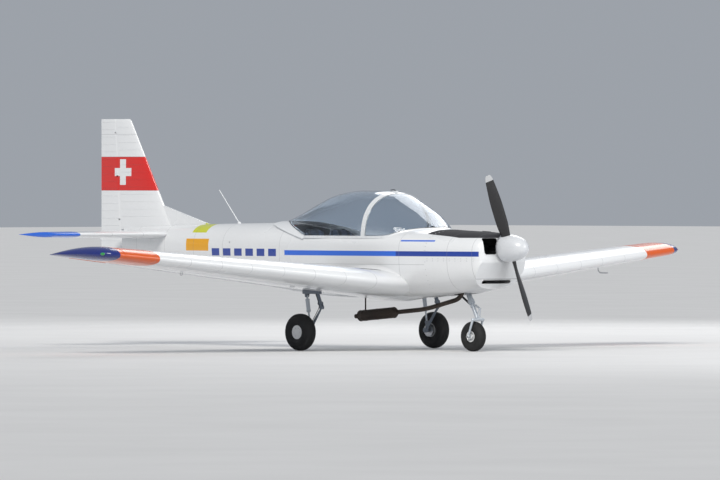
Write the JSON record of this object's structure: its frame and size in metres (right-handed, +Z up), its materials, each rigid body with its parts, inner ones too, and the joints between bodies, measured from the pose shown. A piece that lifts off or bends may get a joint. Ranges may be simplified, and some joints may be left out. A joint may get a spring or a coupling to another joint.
{
  "type": "light aircraft",
  "caption": "Low-wing single-engine light aircraft with side-by-side seats, sliding canopy, fixed nosewheel gear and moving control surfaces.",
  "frame": {"origin": "on the ground, below the middle of the bounding box", "axes": "+X forward to the nose, +Y to port along the wings, +Z up"},
  "size_m": [7.5, 9.7534, 2.81],
  "materials": {
    "body_paint": "gloss white paint",
    "skin_paint": "gloss white paint on thin sheet",
    "frame_paint": "gloss white paint",
    "tip_paint": "gloss dark blue paint",
    "engine_case": "dull grey",
    "clear_glazing": "clear",
    "lining": "matt grey",
    "dark_trim": "matt black",
    "seat_cloth": "woven cloth",
    "leg_steel": "grey paint",
    "strut_steel": "light grey",
    "stick_steel": "satin black paint",
    "exhaust_steel": "heat stained",
    "antenna_shell": "gloss white",
    "rim_alloy": "white paint",
    "tyre_rubber": "matt black",
    "spinner_alloy": "satin white paint",
    "blade_alloy": "satin black paint"
  },
  "bodies": {
    "airframe": {"cabin_tub": "body_paint", "tail_cone": "skin_paint", "cabin_bulkhead": "lining", "cowl_upper": "body_paint", "cowl_lower": "body_paint", "engine_block": "engine_case", "windscreen_frame": "frame_paint", "windscreen_glass": "clear_glazing", "fin": "skin_paint", "nose_leg": "leg_steel", "nose_brace": "leg_steel", "exhaust": "exhaust_steel", "antenna": "antenna_shell", "instrument_panel": "dark_trim", "centre_console": "dark_trim", "seat_base": "lining", "control_sticks": "stick_steel", "tailplane_left": "skin_paint", "tailplane_right": "skin_paint", "seat_cushion_left": "seat_cloth", "seat_cushion_right": "seat_cloth", "seat_back_left": "seat_cloth", "seat_back_right": "seat_cloth", "wing_left": "body_paint", "wing_right": "body_paint", "wing_tip_left": "tip_paint", "wing_tip_right": "tip_paint", "main_leg_left": "leg_steel", "main_leg_right": "leg_steel", "trailing_arm_left": "leg_steel", "trailing_arm_right": "leg_steel", "shock_strut_left": "strut_steel", "shock_strut_right": "strut_steel"},
    "propeller": {"spinner": "spinner_alloy", "propeller_blades": "blade_alloy"},
    "canopy": {"canopy_frame": "frame_paint", "canopy_glass": "clear_glazing"},
    "left_flap": {"flap_left": "skin_paint"},
    "right_flap": {"flap_right": "skin_paint"},
    "left_aileron": {"aileron_left": "skin_paint"},
    "right_aileron": {"aileron_right": "skin_paint"},
    "elevator_panel": {"elevator": "skin_paint"},
    "rudder_panel": {"rudder": "skin_paint"},
    "left_main_wheel": {"main_rim_left": "rim_alloy", "main_tyre_left": "tyre_rubber"},
    "right_main_wheel": {"main_rim_right": "rim_alloy", "main_tyre_right": "tyre_rubber"},
    "nose_steering": {"nose_fork": "leg_steel"},
    "nose_wheel": {"nose_rim": "rim_alloy", "nose_tyre": "tyre_rubber"}
  },
  "joints": [
    {"name": "propeller_spin", "type": "hinge", "parent": "airframe", "child": "propeller", "pos_m": [3.462, 0, 1.24], "axis": [1, 0, 0], "continuous": true},
    {"name": "left_wheel_spin", "type": "hinge", "parent": "airframe", "child": "left_main_wheel", "pos_m": [1.03, 1.125, 0.2225], "axis": [0, 1, 0], "continuous": true},
    {"name": "right_wheel_spin", "type": "hinge", "parent": "airframe", "child": "right_main_wheel", "pos_m": [1.03, -1.125, 0.2225], "axis": [0, 1, 0], "continuous": true},
    {"name": "nose_steer", "type": "hinge", "parent": "airframe", "child": "nose_steering", "pos_m": [2.925, 0, 0.382], "axis": [-0.4573, 0, 0.8893], "range_deg": [-30, 30]},
    {"name": "nose_wheel_spin", "type": "hinge", "parent": "nose_steering", "child": "nose_wheel", "pos_m": [2.85, 0, 0.1805], "axis": [0, 1, 0], "continuous": true},
    {"name": "canopy_slide", "type": "slide", "parent": "airframe", "child": "canopy", "axis": [-1, 0, 0], "range_m": [0, 0.7]},
    {"name": "aileron_left_hinge", "type": "hinge", "parent": "airframe", "child": "left_aileron", "pos_m": [0.83471, 2.78127, 0.9886], "axis": [0.0003, 0.9951, 0.099], "range_deg": [-20, 20]},
    {"name": "aileron_right_hinge", "type": "hinge", "parent": "airframe", "child": "right_aileron", "pos_m": [0.83471, -2.78127, 0.9886], "axis": [-0.0003, 0.9951, -0.099], "range_deg": [-20, 20]},
    {"name": "flap_left_hinge", "type": "hinge", "parent": "airframe", "child": "left_flap", "pos_m": [0.85171, 0.76095, 0.78931], "axis": [0.0014, -0.9951, -0.0987], "range_deg": [0, 38]},
    {"name": "flap_right_hinge", "type": "hinge", "parent": "airframe", "child": "right_flap", "pos_m": [0.85171, -0.76095, 0.78931], "axis": [-0.0014, -0.9951, 0.0987], "range_deg": [0, 38]},
    {"name": "elevator_hinge", "type": "hinge", "parent": "airframe", "child": "elevator_panel", "pos_m": [-2.96, 0, 1.38], "axis": [0, 1, 0], "range_deg": [-20, 28]},
    {"name": "rudder_hinge", "type": "hinge", "parent": "airframe", "child": "rudder_panel", "pos_m": [-3.352, 0, 1.15], "axis": [-0.0781, 0, 0.9969], "range_deg": [-30, 30]}
  ],
  "couplings": [
    {"joint": "aileron_right_hinge", "follows": "aileron_left_hinge", "ratio": -1},
    {"joint": "flap_right_hinge", "follows": "flap_left_hinge", "ratio": 1}
  ]
}
